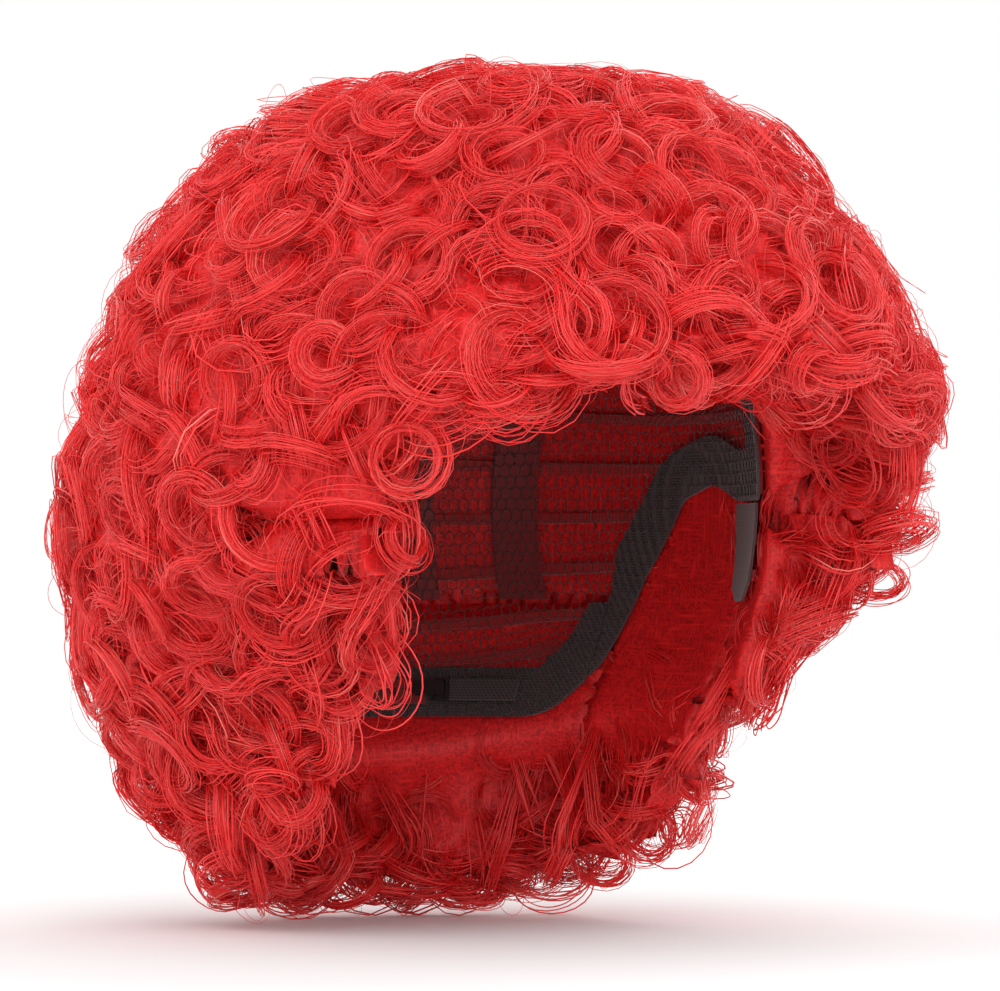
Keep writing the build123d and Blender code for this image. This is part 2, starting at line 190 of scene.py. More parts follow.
# The bed is the dense fibre under the locks: how deep it lies under the hair's outer surface, how uneven
# that is, where it starts to be drawn in on the way out from the head, and over how far it gets to that
# depth. Closer in, only walls are drawn in, by the slope times how sideways they face, less the start.
BED_DEPTH = 11.5
BED_LUMPS = 4.5
BED_STARTS = 6
BED_RANGE = 10
WALL_SLOPE, WALL_START = 1.6, 0.6
BED_VOXEL = 3.0
BED_SMOOTHING, BED_SMOOTHINGS = 0.5, 8
LARGE_LUMP, SMALL_LUMP = 11.0, 5.0
# A place on a bed is part of a slit if another body's hair is in front of it within this distance. There
# the bed grows a little past the middle of the slit, which closes it. Slits close deep inside only, fully at
# one depth and less and less up to another, but the bed grows by the least growth in all of them.
SEAM_REACH = 22.0
SEAM_OVERLAP = 0.5
SEAM_GROWTH_LEAST = 2.2
SEAM_GROWTH_MOST = 9.0
SEAM_CLOSED_DEPTH = 21.0
SEAM_OPEN_DEPTH = 7.0
# The depth is measured from this far inside the bed
SEAM_INSET = 2.0

# The net's strands, in the middle of the CAD's net shells: distance from the head, radius, how far from a
# shell a knot may be, and how far a strand runs on past its knots as a share of its length
NET_MIDDLE = 0.6
NET_STRAND_RADIUS = 0.2
KNOT_REACH = 0.42
STRAND_OVERRUN = 0.06
NET_SUBDIVISIONS = 6
# Edges of the strap that are longer than this are cut
STRAP_LONG_EDGE = 2
STRAP_CUTS = 4

# The distance in metres over which a wave texture of scale 1 repeats
WAVE_PERIOD = 0.314

# Light from all around, which is also the plain background
AMBIENT = 1.0
# Studio lamps: where they shine from, how soft they are in degrees, and their strength
LAMPS = {
    "key": ((-0.5, -1.3, 1.1), 40, 0.80),
    "fill": ((-1.3, -0.6, -0.05), 60, 0.95),
    "rim": ((1.0, 0.6, 1.0), 40, 0.45),
}
# The floor's width in metres
FLOOR_SIZE = 12
FLOOR_COLOUR = (0.92, 0.92, 0.92, 1)
FLOOR_ROUGHNESS = 0.9
# The camera: angles in degrees, the sensor in mm and the rest in metres. AIM is how far right and up of the
# origin it looks.
CAMERA_AZIMUTH = -32
CAMERA_ELEVATION = -1
CAMERA_DISTANCE = 1.8
SEEN_WIDTH = 0.3175
AIM_RIGHT, AIM_UP = 0.0032, 0.0116
SENSOR_WIDTH = 36

cad_low, cad_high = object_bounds()
rng = np.random.default_rng(SEED)
HAIR_NODES = [n for n in frame["nodes"] if "curls" in n]
WEFT_NODES = [n for n in frame["nodes"] if "weft" in n]
CAP_NODES = [n for n in frame["nodes"] if n.endswith(("_net", "_band", "_panel"))]


# Reading the frame


def node_mesh(name):
    """A CAD node's corner points in mm and its triangles."""
    mesh = frame["nodes"][name].data
    mesh.calc_loop_triangles()
    points = np.array([v.co for v in mesh.vertices], float) / MM
    triangles = np.array([t.vertices for t in mesh.loop_triangles], int)
    return points, triangles


def body_of(node):
    return frame["nodes"][node]["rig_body"]


def unit(v):
    return v / np.maximum(np.linalg.norm(v, axis=-1, keepdims=True), 1e-9)


def head_distance(points):
    """Roughly how far points are out from the head, in mm."""
    level = np.linalg.norm((points - HEAD_CENTRE) / HEAD_HALF, axis=-1)
    return (level - 1) * np.linalg.norm(points - HEAD_CENTRE, axis=-1) / np.maximum(level, 1e-6)


def head_outward(points):
    """The way straight out from the head's surface at points."""
    return unit((points - HEAD_CENTRE) / HEAD_HALF**2)


def surface_samples(points, triangles, per_square_mm):
    """Random points on a mesh's faces, with the faces' normals."""
    corners = points[triangles]
    cross = np.cross(corners[:, 1] - corners[:, 0], corners[:, 2] - corners[:, 0])
    area = np.linalg.norm(cross, axis=1) / 2
    count = int(area.sum() * per_square_mm)
    chosen = rng.choice(len(area), count, p=area / area.sum())
    a, b = np.sqrt(rng.random(count)), rng.random(count)
    weights = np.stack((1 - a, a * (1 - b), a * b), axis=1)
    spots = (corners[chosen] * weights[:, :, None]).sum(1)
    return spots, unit(cross[chosen])


def joined_meshes(nodes):
    """Several CAD nodes as one set of corner points in mm and triangles."""
    all_points, all_triangles, start = [], [], 0
    for name in nodes:
        points, triangles = node_mesh(name)
        all_points.append(points)
        all_triangles.append(triangles + start)
        start += len(points)
    return np.concatenate(all_points), np.concatenate(all_triangles)


def search_tree(nodes):
    """One search tree over several CAD nodes."""
    points, triangles = joined_meshes(nodes)
    return BVHTree.FromPolygons([Vector(p) for p in points], [tuple(t) for t in triangles.tolist()])


def exposed_spots(tree):
    """Random spots on the hair's outside: points, outward normals and the CAD nodes they are on."""
    cap = search_tree(CAP_NODES)
    points, normals, names = [], [], []
    for name in HAIR_NODES:
        for spot, normal in zip(*surface_samples(*node_mesh(name), SAMPLES_PER_SQUARE_MM), strict=True):
            start = Vector(spot + normal * EXPOSED_START)
            hidden = tree.ray_cast(start, Vector(normal), EXPOSED_REACH)[0] is not None
            if not hidden and cap.find_nearest(Vector(spot), CAP_CLEARANCE)[0] is None:
                points.append(spot)
                normals.append(normal)
                names.append(name)
    return np.array(points), np.array(normals), names


def well_spaced(points, spacing):
    """Indices of points picked at random so that no two are closer than the spacing."""
    kept, indices = np.empty((0, 3)), []
    for i in rng.permutation(len(points)):
        if len(kept) and np.min(np.sum((kept - points[i]) ** 2, axis=1)) < spacing**2:
            continue
        kept = np.vstack((kept, points[i]))
        indices.append(i)
    return indices


def weft_roots():
    """Points on the outer faces of the wefts, by body."""
    roots = {}
    for name in WEFT_NODES:
        spots, normals = surface_samples(*node_mesh(name), ROOTS_PER_SQUARE_MM)
        outer = np.sum(normals * head_outward(spots), axis=1) > FACES_OUTWARD
        roots.setdefault(body_of(name), []).append(spots[outer])
    return {body: np.concatenate(spots) for body, spots in roots.items()}


# Growing fibres


def nearest_root(target, roots):
    """The weft point that a lock starts from: close to its curl, and rather above it than below."""
    score = np.linalg.norm(roots + np.array((0, 0, -ROOT_ABOVE)) - target, axis=1)
    return roots[np.argmin(score + rng.random(len(roots)) * ROOT_CHANCE)]


def hermite(p0, m0, p1, m1, t):
    """Points along smooth curves from p0 to p1, which start along m0 and arrive along m1."""
    t = t[None, :, None]
    p0, m0, p1, m1 = (x[:, None, :] for x in (p0, m0, p1, m1))
    a = 2 * t**3 - 3 * t**2 + 1
    b = t**3 - 2 * t**2 + t
    c = -2 * t**3 + 3 * t**2
    d = t**3 - t**2
    return a * p0 + b * m0 + c * p1 + d * m1


def within_box(curl):
    """A curl moved back as a whole where it would stand too far out from the CAD's box."""
    over = np.maximum(curl.max(axis=(0, 1)) - (np.array(cad_high) / MM + STANDS_PROUD), 0)
    under = np.maximum(np.array(cad_low) / MM - STANDS_PROUD - curl.min(axis=(0, 1)), 0)
    return curl - over + under


def curl_shape(layer):
    """A random curl: its radius, its turns and how much its axis leans to the way out."""
    if layer == "frizz":
        kind = STRAY
    else:
        pick = rng.random()
        kind = RING if pick < RING_LIMIT else RINGLET if pick < RINGLET_LIMIT else SWEEP
    radius, turns = rng.uniform(*kind["radius"]), rng.uniform(*kind["turns"])
    facing = rng.choice(kind["facing"]) if kind is RING else kind["facing"]
    return radius, turns, facing


def grow_lock(spot, normal, roots, style, shape):
    """The paths of one lock: from its weft out to a ring, spiral or sweep under a spot on the outside."""
    radius, turn_count, facing = shape
    axis = unit(rng.normal(size=3) + facing * normal * rng.choice((-1, 1)))
    centre = curl_centre(spot, normal, axis, radius, style)
    root = nearest_root(centre, roots)
    curl = within_box(curl_paths(centre, root, axis, radius, turn_count, style))
    return np.concatenate((stem_paths(root, curl), curl), axis=1)


def curl_centre(spot, normal, axis, radius, style):
    """The middle of a curl that reaches up to just under a spot on the hair's outside."""
    reach = radius * math.sqrt(max(0.0, 1 - float(axis @ normal) ** 2))
    radial = unit(spot - HEAD_CENTRE)
    wall = 1 - np.clip(normal @ radial, 0, 1)
    if normal @ radial > FACES_INWARD:
        normal = unit(normal + RADIAL_LEAN * radial)
    depth = reach + style["spread"] * SPREAD_DEPTH + style["sink"] + WALL_SINK * wall
    depth += rng.normal(0, DEPTH_JITTER)
    return spot - normal * depth


def curl_paths(centre, root, axis, radius, turn_count, style):
    """The curled part of a lock's fibres. It starts where a line from the root would touch the curl."""
    fibres, spread = style["fibres"], style["spread"]
    to_root = root - centre
    flat = to_root - (to_root @ axis) * axis
    first = unit(flat)
    second = np.cross(axis, first) * rng.choice((-1, 1))
    start = math.acos(min(1.0, radius / max(np.linalg.norm(flat), radius + ROOT_OUTSIDE)))

    clumps = rng.normal(size=(CLUMPS, 2))
    member = rng.integers(0, len(clumps), fibres)
    own = (clumps[member] * CLUMP_SHARE + rng.normal(size=(fibres, 2)) * FIBRE_SHARE) * spread
    wander = rng.normal(0, WANDER * spread, (fibres, 1, 3))
    turns = turn_count * rng.uniform(*TURN_SPREAD, (fibres, 1))
    t = np.linspace(0, 1, CURL_POINTS)[None, :]

    def wave(strength):
        """A slow sideways wave of each fibre."""
        phase = rng.uniform(*WAVES, (fibres, 1)) * t + rng.random((fibres, 1))
        return strength * spread * np.sin(2 * math.pi * phase)

    gather = 1 - rng.uniform(*GATHER) * t**2
    size = (radius + own[:, :1] * gather) * (START_SIZE - rng.uniform(*SIZE_LOSS) * t) + wave(WAVE_ACROSS)
    size = np.maximum(size, SMALLEST_CURL)
    angle = start + rng.normal(0, ANGLE_SPREAD, (fibres, 1)) + 2 * math.pi * turns * t
    pitch = rng.uniform(*PITCH) * rng.choice((-1, 1))
    lift = own[:, 1:] * gather + pitch * turns * (t - 0.5) + wave(WAVE_ALONG)
    round_part = np.cos(angle)[:, :, None] * first + np.sin(angle)[:, :, None] * second
    return centre + wander + size[:, :, None] * round_part + lift[:, :, None] * axis


def stem_paths(root, curl):
    """The part of a lock's fibres between the weft and the start of the curl."""
    fibres = len(curl)
    outward = head_outward(root)
    heading = unit(curl[:, 1] - curl[:, 0])
    gap = np.linalg.norm(curl[:, 0] - root, axis=1, keepdims=True)
    along = unit(np.cross(outward, np.array((0.0, 0.0, 1.0))) + 1e-6)
    feet = root + along * rng.uniform(-FOOT_HALF_WIDTH, FOOT_HALF_WIDTH, (fibres, 1))
    feet = feet + rng.normal(0, FOOT_JITTER, (fibres, 3))
    rise = (outward + rng.normal(0, RISE_JITTER, 3)) * gap
    stem_t = np.arange(STEM_POINTS) / STEM_POINTS
    return hermite(feet, rise, curl[:, 0], heading * gap * ARRIVAL, stem_t)


def lock_places(spot, normal, own, others):
    """Where locks grow for one spot: there, and in front of a wide slit to another body just below it."""
    down = Vector((0, 0, -1))
    hit, _, _, across = others.ray_cast(Vector(spot - normal * SLIT_INSET), down, SLIT_REACH)
    if hit is None:
        return [spot]
    slit = own.ray_cast(hit, -down)[3] or 0.0
    if slit < WIDE_SLIT:
        return [spot]
    return [spot, spot + np.array(down) * (across - slit / 2)]


def stands_out(paths, tree):
    """How far the curl of a lock stands out from the CAD's curl volumes, in mm."""
    most = 0.0
    for point in paths[::FIBRE_STEP, STEM_POINTS::POINT_STEP].reshape(-1, 3):
        nearest, normal = tree.find_nearest(Vector(point))[:2]
        most = max(most, (Vector(point) - nearest).dot(normal))
    return most


def carried_frames(paths):
    """Two directions across each path that turn with it without twisting."""
    tangents = unit(np.gradient(paths, axis=1))
    side = np.cross(tangents[:, 0], ANY_DIRECTION)
    sides = [unit(side)]
    for k in range(1, paths.shape[1]):
        side = sides[-1]
        side = side - np.sum(side * tangents[:, k], axis=1, keepdims=True) * tangents[:, k]
        sides.append(unit(side))
    sides = np.stack(sides, axis=1)
    return sides, np.cross(tangents, sides)


def tube_mesh(name, paths, radii, taper):
    """Closed tubes along equally long paths, with a bake map of one column per tint."""
    count, length = paths.shape[:2]
    across, other = carried_frames(paths)
    t = np.linspace(0, 1, length)
    thickness = radii[:, None] * (1 - taper * t**TAPER_POWER)[None, :]
    rings = []
    for k in range(FIBRE_SIDES):
        angle = 2 * math.pi * k / FIBRE_SIDES
        rings.append(paths + (across * math.cos(angle) + other * math.sin(angle)) * thickness[:, :, None])
    points = np.stack(rings, axis=2).reshape(-1, 3) * MM

    fibre = np.arange(count)[:, None, None] * length * FIBRE_SIDES
    step = np.arange(length - 1)[None, :, None] * FIBRE_SIDES
    k = np.arange(FIBRE_SIDES)[None, None, :]
    nxt = (k + 1) % FIBRE_SIDES
    low = fibre + step + k
    low_next = fibre + step + nxt
    quads = np.stack((low, low_next, low_next + FIBRE_SIDES, low + FIBRE_SIDES), axis=-1).reshape(-1, 4)
    first = np.arange(count)[:, None] * length * FIBRE_SIDES
    start_caps = first + np.array((2, 1, 0))
    end_caps = first + (length - 1) * FIBRE_SIDES + np.array((0, 1, 2))

    loops = np.concatenate((quads.ravel(), start_caps.ravel(), end_caps.ravel()))
    starts = np.concatenate((np.arange(len(quads)) * 4, len(quads) * 4 + np.arange(2 * count) * 3))
    mesh = bpy.data.meshes.new(name)
    mesh.vertices.add(len(points))
    mesh.vertices.foreach_set("co", points.ravel())
    mesh.loops.add(len(loops))
    mesh.loops.foreach_set("vertex_index", loops)
    mesh.polygons.add(len(starts))
    mesh.polygons.foreach_set("loop_start", starts)
    mesh.update(calc_edges=True)
    mesh.shade_smooth()

    # A fibre stays in the middle half of its column, and a little off the map's ends
    column = rng.integers(0, UV_COLUMNS, count)
    vertex = np.arange(len(points))
    of_fibre, place = np.divmod(vertex, length * FIBRE_SIDES)
    u = (column[of_fibre] + 0.25 + 0.5 * (place % FIBRE_SIDES) / FIBRE_SIDES) / UV_COLUMNS
    v = 0.02 + 0.96 * (place // FIBRE_SIDES) / (length - 1)
    layer = mesh.uv_layers.new(name="OFBake")
    layer.data.foreach_set("uv", np.stack((u[loops], v[loops]), axis=1).ravel())
    return mesh


def add_object(name, mesh, material):
    """A new object in the scene, with one material."""
    mesh.materials.append(material)
    thing = bpy.data.objects.new(name, mesh)
    bpy.context.scene.collection.objects.link(thing)
    return thing


def grow_hair():
    """Every lock, gathered by the CAD node that it stands for."""
    roots = weft_roots()
    tree = search_tree(HAIR_NODES)
    own, others = body_trees()
    points, normals, names = exposed_spots(tree)
    locks = {}
    for layer, style in CURL_LAYERS.items():
        for i in well_spaced(points, style["spacing"]):
            body = body_of(names[i])
            for place in lock_places(points[i], normals[i], own[body], others[body]):
                paths = fitting_lock(place, normals[i], roots[body], layer, tree)
                radii = style["thickness"] * rng.uniform(*THICKNESS_SPREAD, len(paths))
                clear = (head_distance(paths) > HEAD_CLEARANCE).all(axis=1)
                lock = (math.atan2(place[0], place[1]), paths[clear], radii[clear])
                locks.setdefault(names[i], []).append(lock)
    return locks


def body_trees():
    """For each body, a search tree over its own curl volumes and one over all the others'."""
    own, others = {}, {}
    for body in sorted({body_of(n) for n in HAIR_NODES}):
        own[body] = search_tree([n for n in HAIR_NODES if body_of(n) == body])
        others[body] = search_tree([n for n in HAIR_NODES if body_of(n) != body])
    return own, others


def fitting_lock(place, normal, roots, layer, tree):
    """A lock that is made smaller if it stands out too far."""
    radius, turns, facing = curl_shape(layer)
    for _ in range(1 + SHRINKS):
        paths = grow_lock(place, normal, roots, CURL_LAYERS[layer], (radius, turns, facing))
        if stands_out(paths, tree) < LOCK_STANDS_PROUD:
            break
        radius *= SHRINK
    return paths


def hair_pieces(locks, material):
    """The locks of each CAD node, split into meshes of at most about a set number of triangles.
    The locks of each CAD node, as meshes small enough to export whole.
    """
    per_fibre = 2 * FIBRE_SIDES * (STEM_POINTS + CURL_POINTS - 1) + 2
    for node, grown in sorted(locks.items()):
        grown.sort(key=lambda lock: lock[0])
        total = sum(len(radii) for _, _, radii in grown)
        parts = math.ceil(total * per_fibre / MOST_TRIANGLES_PER_PIECE)
        for part in range(parts):
            share = grown[part * len(grown) // parts : (part + 1) * len(grown) // parts]
            paths = np.concatenate([p for _, p, _ in share])
            radii = np.concatenate([r for _, _, r in share])
            name = f"{node}_fibres_{part + 1}"
            hair = add_object(name, tube_mesh(name, paths, radii, HAIR_TAPER), material)
            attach(hair, body_of(node))
            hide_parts(node)


def under_mass(body, material):
    """The dense crossing fibre under the curls of one body: its volumes joined, drawn in and made uneven."""
    nodes = [n for n in HAIR_NODES if body_of(n) == body]
    points, triangles = joined_meshes(nodes)
    name = f"{body}_hair_bed"
    mesh = bpy.data.meshes.new(name)
    mesh.from_pydata((points * MM).tolist(), [], triangles.tolist())
    blob = add_object(name, mesh, material)
    remesh = blob.modifiers.new("remesh", "REMESH")
    remesh.mode = "VOXEL"
    remesh.voxel_size = BED_VOXEL * MM
    smooth = blob.modifiers.new("smooth", "SMOOTH")
    smooth.factor, smooth.iterations = BED_SMOOTHING, BED_SMOOTHINGS
    evaluated = blob.evaluated_get(bpy.context.evaluated_depsgraph_get())
    mesh = bpy.data.meshes.new_from_object(evaluated)
    blob.modifiers.clear()
    blob.data = mesh
    points = np.array([v.co for v in mesh.vertices], float) / MM
    normals = np.array([v.normal for v in mesh.vertices], float)
    lumps = np.array([unevenness(Vector(p)) for p in points])
    points += bed_moves(points, normals, lumps, nodes, body)
    mesh.vertices.foreach_set("co", (points * MM).ravel())
    mesh.materials.clear()
    mesh.materials.append(material)
    mesh.shade_smooth()
    mesh.update()
    wrap_map(mesh)
    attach(blob, body)
    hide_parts(*nodes)


def unevenness(point):
    """Smooth random unevenness in two sizes."""
    return noise.noise(point / LARGE_LUMP) + 0.5 * noise.noise(point / SMALL_LUMP)


def bed_moves(points, normals, lumps, nodes, body):
    """How far each point of a bed goes: in along its normal, or, in a slit, across it and to the head."""
    radials = unit(points - HEAD_CENTRE)
    sideways = 1 - np.abs(np.sum(normals * radials, axis=1))
    off_head = (head_distance(points) - BED_STARTS) / BED_RANGE
    share = np.clip(np.maximum(off_head, WALL_SLOPE * sideways - WALL_START), 0, 1)
    depths = share * (BED_DEPTH + BED_LUMPS * lumps)
    moves = -normals * depths[:, None]
    own = search_tree(nodes)
    others = search_tree([n for n in HAIR_NODES if body_of(n) != body])
    for i, (point, normal, radial) in enumerate(zip(points, normals, radials, strict=True)):
        slit = others.ray_cast(Vector(point), Vector(normal), SEAM_REACH)[3]
        if slit is None:
            continue
        cover = own.ray_cast(Vector(point - normal * SEAM_INSET), Vector(radial))[3] or 0.0
        closing = min(1.0, (cover - SEAM_OPEN_DEPTH) / (SEAM_CLOSED_DEPTH - SEAM_OPEN_DEPTH))
        growth = max(SEAM_GROWTH_LEAST, closing * min(slit / 2 + SEAM_OVERLAP, SEAM_GROWTH_MOST))
        moves[i] = normal * growth - radial * max(0.0, depths[i] - cover)
    return moves


def wrap_map(mesh):
    """A bake map by direction from the head's centre."""
    points = np.array([v.co for v in mesh.vertices], float) / MM - HEAD_CENTRE
    u = np.arctan2(points[:, 0], -points[:, 1]) / (2 * math.pi) + 0.5
    v = np.arccos(np.clip(unit(points)[:, 2], -1, 1)) / math.pi
    loops = np.empty(len(mesh.loops), int)
    mesh.loops.foreach_get("vertex_index", loops)
    layer = mesh.uv_layers.new(name="OFBake")
    layer.data.foreach_set("uv", np.stack((u[loops], 1 - v[loops]), axis=1).ravel())


# The net


def net_strands(node):
    """The ends of every strand of a hexagonal net in the middle of a CAD net shell."""
    bm = bmesh.new()
    bmesh.ops.create_icosphere(bm, subdivisions=NET_SUBDIVISIONS, radius=1)
    middle = HEAD_HALF + NET_MIDDLE
    tree = search_tree([node])
    knots = {}
    for face in bm.faces:
        knot = unit(np.array(face.calc_center_median())) * middle + HEAD_CENTRE
        if tree.find_nearest(Vector(knot), KNOT_REACH)[0] is not None:
            knots[face.index] = knot
    ends = []
    for edge in bm.edges:
        pair = [face.index for face in edge.link_faces]
        if all(i in knots for i in pair):
            ends.append((knots[pair[0]], knots[pair[1]]))
    bm.free()
    return np.array(ends)


def net_piece(node, material):
    """The net that stands for a CAD net shell."""
    ends = net_strands(node)
    steps = np.array((-STRAND_OVERRUN, 1 + STRAND_OVERRUN))[None, :, None]
    paths = ends[:, :1] + (ends[:, 1:] - ends[:, :1]) * steps
    name = f"{node}_strands"
    mesh = tube_mesh(name, paths, np.full(len(ends), NET_STRAND_RADIUS), taper=0)
    net = add_object(name, mesh, material)
    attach(net, body_of(node))
    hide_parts(node)


# The adjuster strap


def strap_piece(side, material):
    """The strap between the nape band and its moulded end, with its long edges cut into shorter ones."""
    node = f"{side}_adjuster_strap"
    name = f"{node}_elastic"
    mesh = frame["nodes"][node].data.copy()
    mesh.name = name
    bm = bmesh.new()
    bm.from_mesh(mesh)
    long_edges = [e for e in bm.edges if e.calc_length() > STRAP_LONG_EDGE * MM]
    bmesh.ops.subdivide_edges(bm, edges=long_edges, cuts=STRAP_CUTS, use_grid_fill=True)
    bmesh.ops.triangulate(bm, faces=bm.faces)
    bm.to_mesh(mesh)
    bm.free()
    mesh.materials.clear()
    strap = add_object(name, mesh, material)
    end_middle = node_mesh(f"{side}_strap_end")[0].mean(axis=0) * MM
    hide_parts(node)
    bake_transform(strap)


# Finishes


def new_material(name):
    """A material with its nodes, its links and its shader."""
    material = bpy.data.materials.new(name)
    material.use_nodes = True
    nodes, links = material.node_tree.nodes, material.node_tree.links
    return material, nodes, links, nodes["Principled BSDF"]


def ramp(nodes, links, value, stops):
    """A colour ramp of (position, colour) stops, fed by a socket."""
    node = nodes.new("ShaderNodeValToRGB")
    elements = node.color_ramp.elements
    while len(elements) < len(stops):
        elements.new(0.5)
    for element, (position, colour) in zip(elements, stops, strict=True):
        element.position = position
        element.color = (*colour, 1)
    links.new(value, node.inputs[0])
    return node.outputs[0]


def noise_pattern(nodes, links, place, scale):
    """Noise of a given scale at a place socket."""
    node = nodes.new("ShaderNodeTexNoise")
    node.inputs["Scale"].default_value = scale
    node.inputs["Detail"].default_value = 2.0
    links.new(place, node.inputs["Vector"])
    return node.outputs[0]


def highest(nodes, links, values):
    """The highest of several sockets' values, for strands that cross over each other."""
    top = values[0]
    for value in values[1:]:
        node = nodes.new("ShaderNodeMath")
        node.operation = "MAXIMUM"
        links.new(top, node.inputs[0])
        links.new(value, node.inputs[1])
        top = node.outputs[0]
    return top


def add_roughness(nodes, links, shader, pattern, low, high):
    """Roughness that follows a pattern, from one value where it is 0 to another where it is 1."""
    node = nodes.new("ShaderNodeMapRange")
    node.inputs["To Min"].default_value = low
    node.inputs["To Max"].default_value = high
    links.new(pattern, node.inputs[0])
    links.new(node.outputs[0], shader.inputs["Roughness"])


def add_bump(nodes, links, shader, pattern, strength, height):
    """Bump that follows a pattern, with a given height in mm."""
    node = nodes.new("ShaderNodeBump")
    node.inputs["Strength"].default_value = strength
    node.inputs["Distance"].default_value = height * MM
    links.new(pattern, node.inputs["Height"])
    links.new(node.outputs[0], shader.inputs["Normal"])


def hair_material():
    """Glossy red fibre with a tint for each column of the map, and a slow change of tint along it. The tints
    are tone that differs at random, except the palest, pale pink one, which is a painted highlight on random
    fibres.
    """
    material, nodes, links, shader = new_material("hair_fibre")
    place = nodes.new("ShaderNodeUVMap")
    place.uv_map = "OFBake"
    stretch = nodes.new("ShaderNodeMapping")
    stretch.inputs["Scale"].default_value = (UV_COLUMNS * 0.5, 2.5, 1)
    links.new(place.outputs[0], stretch.inputs[0])
    streak = noise_pattern(nodes, links, stretch.outputs[0], 1.0)
    stops = [
        (0.3, (0.86, 0.006, 0.009)),
        (0.5, (0.95, 0.016, 0.017)),
        (0.6, (0.96, 0.04, 0.034)),
        # The palest stop is pale pink: a painted highlight on the fibres where the pattern is highest
        (0.7, (0.97, 0.18, 0.14)),
    ]
    links.new(ramp(nodes, links, streak, stops), shader.inputs["Base Color"])
    add_roughness(nodes, links, shader, streak, 0.30, 0.5)
    add_bump(nodes, links, shader, streak, 0.3, 0.05)
    shader.inputs["Specular IOR Level"].default_value = 0.8
    return material


def mass_material():
    """Fibre seen between the curls: fine red strands that cross at several angles, in darker reds than the
    curls as painted shade of the gaps between them.
    """
    material, nodes, links, shader = new_material("hair_bed")
    place = nodes.new("ShaderNodeTexCoord")
    strands = []
    for turn, stretch in ((0.5, (1.0, 1.0, 0.03)), (1.6, (0.035, 1.0, 1.0)), (2.6, (1.0, 0.03, 1.0))):
        lay = nodes.new("ShaderNodeMapping")
        lay.inputs["Rotation"].default_value = (turn, turn * 0.7, turn * 1.3)
        lay.inputs["Scale"].default_value = stretch
        links.new(place.outputs["Object"], lay.inputs[0])
        strands.append(noise_pattern(nodes, links, lay.outputs[0], 1100.0))
    tangle = highest(nodes, links, strands)
    # Painted shade: these reds are darker than the curls' fibre because the bed lies in shade between the
    # curls
    stops = [(0.45, (0.45, 0.003, 0.006)), (0.58, (0.74, 0.008, 0.010)), (0.72, (0.93, 0.02, 0.018))]
    links.new(ramp(nodes, links, tangle, stops), shader.inputs["Base Color"])
    add_roughness(nodes, links, shader, tangle, 0.75, 0.45)
    add_bump(nodes, links, shader, tangle, 0.8, 0.4)
    return material


def cloth_material(name, dark, light, rough, pitch):
    """A woven cloth: two crossing sets of threads, of a given pitch in mm."""
    material, nodes, links, shader = new_material(name)
    place = nodes.new("ShaderNodeTexCoord")
    threads = []
    for direction in ("X", "Z"):
        wave = nodes.new("ShaderNodeTexWave")
        wave.bands_direction = direction
        wave.inputs["Scale"].default_value = WAVE_PERIOD / (pitch * MM)
        wave.inputs["Distortion"].default_value = 0.6
        links.new(place.outputs["Object"], wave.inputs["Vector"])
        threads.append(wave.outputs["Fac"])
    weave = highest(nodes, links, threads)
    links.new(ramp(nodes, links, weave, [(0.2, dark), (1.0, light)]), shader.inputs["Base Color"])
    add_roughness(nodes, links, shader, weave, rough, rough - 0.2)
    add_bump(nodes, links, shader, weave, 0.6, 0.15)
    shader.inputs["Sheen Weight"].default_value = 0.3
    return material


def plastic_material(name, colour, rough):
    """Moulded plastic with a faint grain."""
    material, nodes, links, shader = new_material(name)
    place = nodes.new("ShaderNodeTexCoord")
    grain = noise_pattern(nodes, links, place.outputs["Object"], 900.0)
    lighter = tuple(min(1.0, c * 1.25) for c in colour)
    tint = ramp(nodes, links, grain, [(0.3, colour), (0.7, lighter)])
    links.new(tint, shader.inputs["Base Color"])
    shader.inputs["Roughness"].default_value = rough
    add_bump(nodes, links, shader, grain, 0.15, 0.05)
    return material


def finish_cap():
    """A finish for each CAD node that is still shown, by its material slot."""
    finishes = {
        "weft_tape": cloth_material("weft_cloth", (0.20, 0.004, 0.006), (0.55, 0.02, 0.02), 0.8, 0.5),
        "elastic": cloth_material("elastic_cloth", (0.012, 0.011, 0.012), (0.075, 0.07, 0.072), 0.75, 0.9),
        "ribbon": cloth_material("ribbon_cloth", (0.10, 0.006, 0.008), (0.30, 0.02, 0.02), 0.55, 0.45),
        "thread": cloth_material("thread", (0.4, 0.02, 0.02), (0.8, 0.05, 0.04), 0.7, 0.3),
        "patch": cloth_material("patch_cloth", (0.15, 0.006, 0.008), (0.36, 0.02, 0.02), 0.85, 0.6),
        "label": cloth_material("label_cloth", (0.66, 0.65, 0.62), (0.90, 0.89, 0.86), 0.5, 0.3),
        "tab_lace": cloth_material("tab_cloth", (0.02, 0.012, 0.012), (0.10, 0.05, 0.05), 0.8, 0.7),
        "stay": plastic_material("stay_plastic", (0.72, 0.70, 0.66), 0.45),
        "hook_plastic": plastic_material("hook_plastic", (0.02, 0.02, 0.022), 0.35),
    }
    for row in frame["record"]["subparts"]:
        if row["material_slot"] in finishes:
            mesh = frame["nodes"][row["node"]].data
            mesh.materials.clear()
            mesh.materials.append(finishes[row["material_slot"]])


# Stage


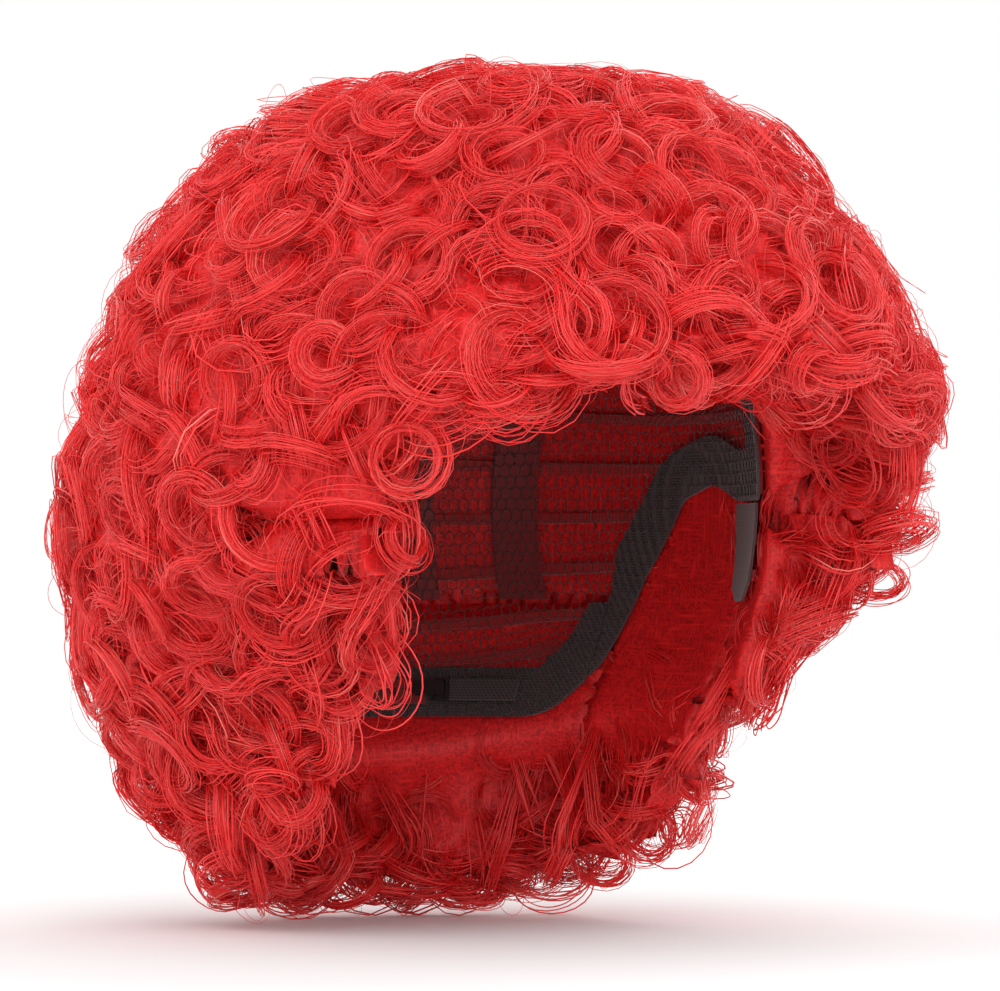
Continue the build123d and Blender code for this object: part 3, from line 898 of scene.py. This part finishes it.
def stage():
    """A pale floor, even light from all around and three soft lamps."""
    low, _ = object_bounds()
    bpy.ops.mesh.primitive_plane_add(size=FLOOR_SIZE, location=(0, 0, low.z))
    floor = bpy.context.object
    floor.name = "floor"
    material, _, _, shader = new_material("floor")
    shader.inputs["Base Color"].default_value = FLOOR_COLOUR
    shader.inputs["Roughness"].default_value = FLOOR_ROUGHNESS
    floor.data.materials.append(material)
    floor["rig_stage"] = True

    world = bpy.data.worlds.new("studio")
    bpy.context.scene.world = world
    world.use_nodes = True
    sky = world.node_tree.nodes["Background"]
    sky.inputs["Color"].default_value = (1, 1, 1, 1)
    sky.inputs["Strength"].default_value = AMBIENT

    for name, (spot, softness, strength) in LAMPS.items():
        lamp = bpy.data.lights.new(name, "SUN")
        lamp.angle, lamp.energy = math.radians(softness), strength
        thing = bpy.data.objects.new(name, lamp)
        thing.location = spot
        thing.rotation_euler = (-Vector(spot)).to_track_quat("-Z", "Y").to_euler()
        bpy.context.scene.collection.objects.link(thing)
    bpy.context.scene.view_settings.view_transform = "Standard"


def camera():
    """The camera at the photograph's viewing angle."""
    azimuth, elevation = math.radians(CAMERA_AZIMUTH), math.radians(CAMERA_ELEVATION)
    back = Vector(
        (
            math.sin(azimuth) * math.cos(elevation),
            -math.cos(azimuth) * math.cos(elevation),
            math.sin(elevation),
        )
    )
    lens = bpy.data.cameras.new("camera")
    lens.sensor_width = SENSOR_WIDTH
    lens.lens = SENSOR_WIDTH * CAMERA_DISTANCE / SEEN_WIDTH
    eye = bpy.data.objects.new("camera", lens)
    right = Vector((math.cos(azimuth), math.sin(azimuth), 0))
    aim = right * AIM_RIGHT + Vector((0, 0, AIM_UP))
    eye.location = aim + back * CAMERA_DISTANCE
    eye.rotation_euler = (-back).to_track_quat("-Z", "Y").to_euler()
    bpy.context.scene.collection.objects.link(eye)
    bpy.context.scene.camera = eye


fibre = hair_material()
mass = mass_material()
hair_pieces(grow_hair(), fibre)
for body in sorted({body_of(n) for n in HAIR_NODES}):
    under_mass(body, mass)
net = cloth_material("net_thread", (0.02, 0.012, 0.012), (0.09, 0.04, 0.04), 0.7, 0.4)
for node in ("crown_net", "nape_panel"):
    net_piece(node, net)
elastic = cloth_material("strap_cloth", (0.012, 0.011, 0.012), (0.075, 0.07, 0.072), 0.75, 0.9)
for side in ("left", "right"):
    strap_piece(side, elastic)
finish_cap()
stage()
camera()
